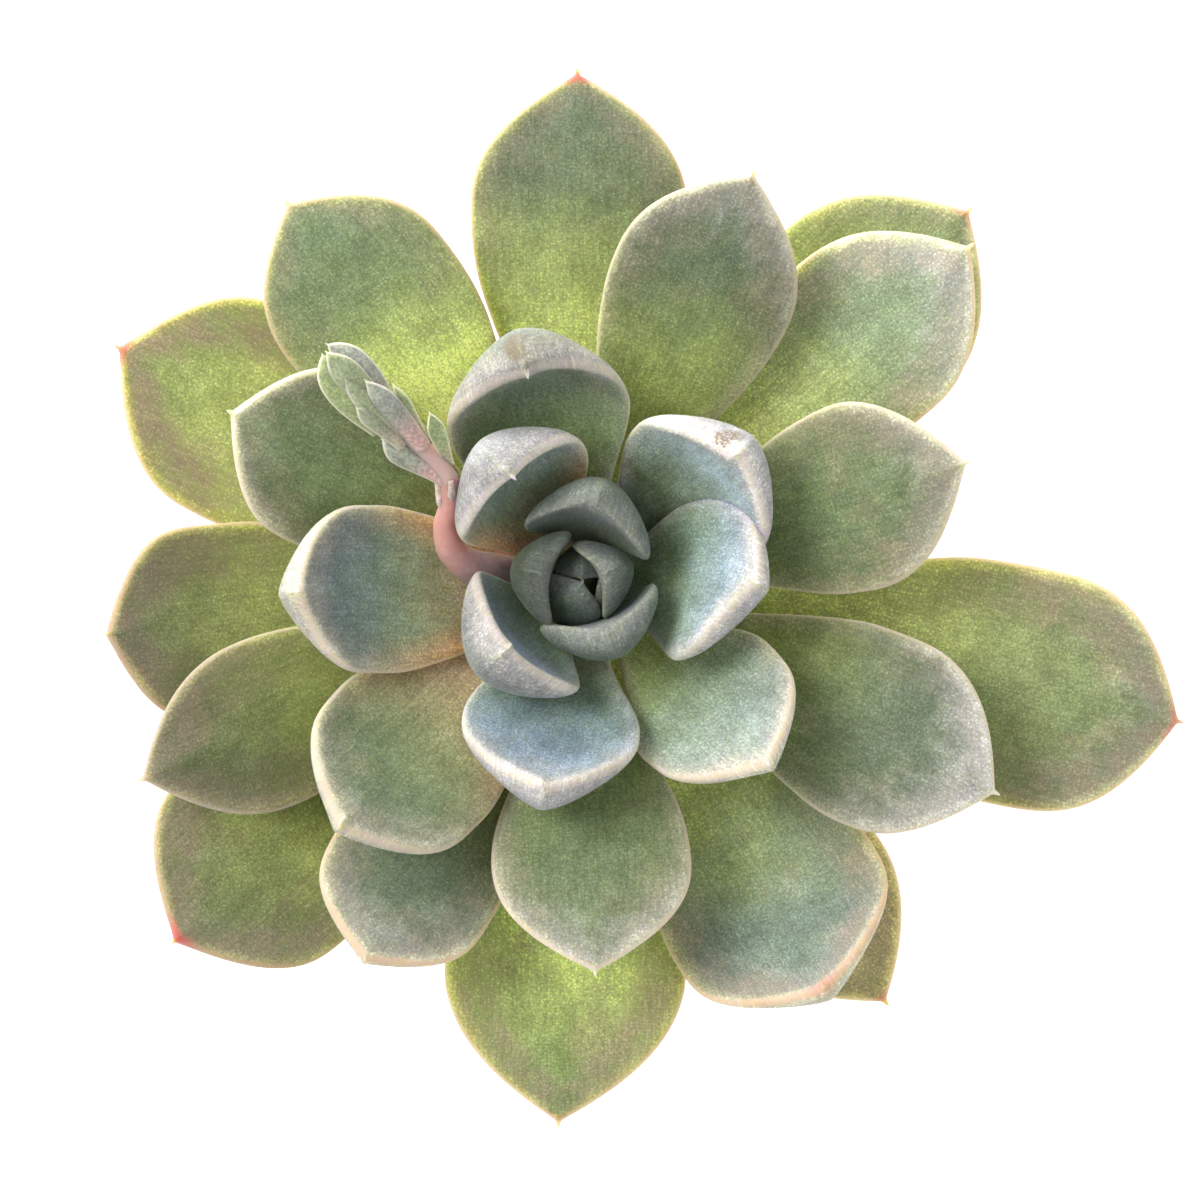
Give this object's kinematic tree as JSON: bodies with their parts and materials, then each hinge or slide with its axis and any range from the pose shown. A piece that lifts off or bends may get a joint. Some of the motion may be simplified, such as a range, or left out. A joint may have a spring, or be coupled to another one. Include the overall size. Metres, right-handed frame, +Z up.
{
  "type": "potted succulent",
  "caption": "Rosette succulent with broad pointed fleshy leaves, grey-green with pale margins, a young flower stalk at its heart, and a plain tapered clay pot full of soil.",
  "frame": {"origin": "middle of the pot's flat foot, on the surface that the pot stands on", "axes": "+Z up along the stem; +X towards the longest outer leaf; +Y towards the top of a picture taken from straight above"},
  "size_m": [0.1183, 0.1157, 0.0973],
  "materials": {
    "clay": "unglazed terracotta, matt and slightly dusty",
    "soil": "loose gritty potting mix",
    "stem": "dull ringed bark",
    "outer_leaf": "waxy, translucent, yellow-green with a powdery bloom and a pale margin",
    "middle_leaf": "waxy, green-grey with a powdery bloom and a cream margin",
    "inner_leaf": "waxy, blue-grey with a powdery bloom and a lavender back",
    "heart_leaf": "waxy, deep blue-green with tan crests",
    "flower_stalk": "smooth salmon pink",
    "bract": "powdery pale green with whitish edges"
  },
  "bodies": {
    "root": {"pot": "clay", "soil": "soil", "stem": "stem", "outer_leaf_01": "outer_leaf", "outer_leaf_02": "outer_leaf", "outer_leaf_03": "outer_leaf", "outer_leaf_04": "outer_leaf", "outer_leaf_05": "outer_leaf", "outer_leaf_06": "outer_leaf", "outer_leaf_07": "outer_leaf", "outer_leaf_08": "outer_leaf", "outer_leaf_09": "outer_leaf", "outer_leaf_10": "outer_leaf", "outer_leaf_11": "outer_leaf", "outer_leaf_12": "outer_leaf", "middle_leaf_01": "middle_leaf", "middle_leaf_02": "middle_leaf", "middle_leaf_03": "middle_leaf", "middle_leaf_04": "middle_leaf", "middle_leaf_05": "middle_leaf", "middle_leaf_06": "middle_leaf", "middle_leaf_07": "middle_leaf", "middle_leaf_08": "middle_leaf", "middle_leaf_09": "middle_leaf", "inner_leaf_01": "inner_leaf", "inner_leaf_02": "inner_leaf", "inner_leaf_03": "inner_leaf", "inner_leaf_04": "inner_leaf", "inner_leaf_05": "inner_leaf", "inner_leaf_06": "inner_leaf", "heart_leaf_01": "heart_leaf", "heart_leaf_02": "heart_leaf", "heart_leaf_03": "heart_leaf", "heart_leaf_04": "heart_leaf", "heart_leaf_05": "heart_leaf", "heart_leaf_06": "heart_leaf", "heart_leaf_07": "heart_leaf", "flower_stalk": "flower_stalk", "bract_1": "bract", "bract_2": "bract", "bract_3": "bract", "bract_4": "bract", "bud_leaf_1": "bract", "bud_leaf_2": "bract", "bud_leaf_3": "bract", "bud_leaf_4": "bract", "bud_leaf_5": "bract"}
  },
  "joints": []
}
